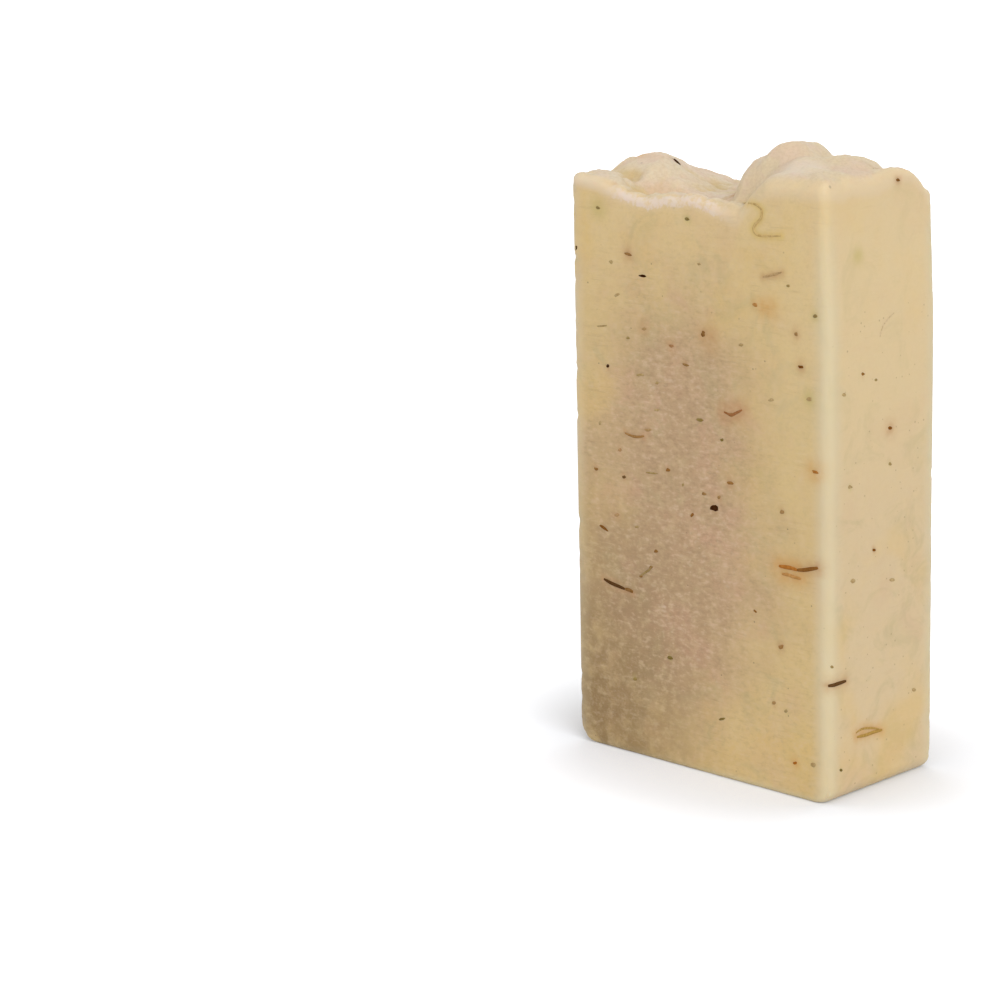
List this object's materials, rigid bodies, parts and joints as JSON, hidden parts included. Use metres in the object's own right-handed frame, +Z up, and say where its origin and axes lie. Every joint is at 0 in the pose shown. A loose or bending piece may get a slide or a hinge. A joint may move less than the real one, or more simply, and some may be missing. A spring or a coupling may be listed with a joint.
{
  "type": "bar of soap",
  "caption": "Upright hand-cut bar of natural soap: flat cut faces with softened edges and a rough poured top.",
  "frame": {"origin": "middle of the flat cut base, at the height of the base", "axes": "+Z up the bar towards its rough poured top, X along the broad cut faces, Y through the thickness, -Y out of the front broad face"},
  "size_m": [0.0532, 0.0264, 0.1003],
  "materials": {
    "soap": "satin"
  },
  "bodies": {
    "root": {"soap_bar": "soap"}
  },
  "joints": []
}
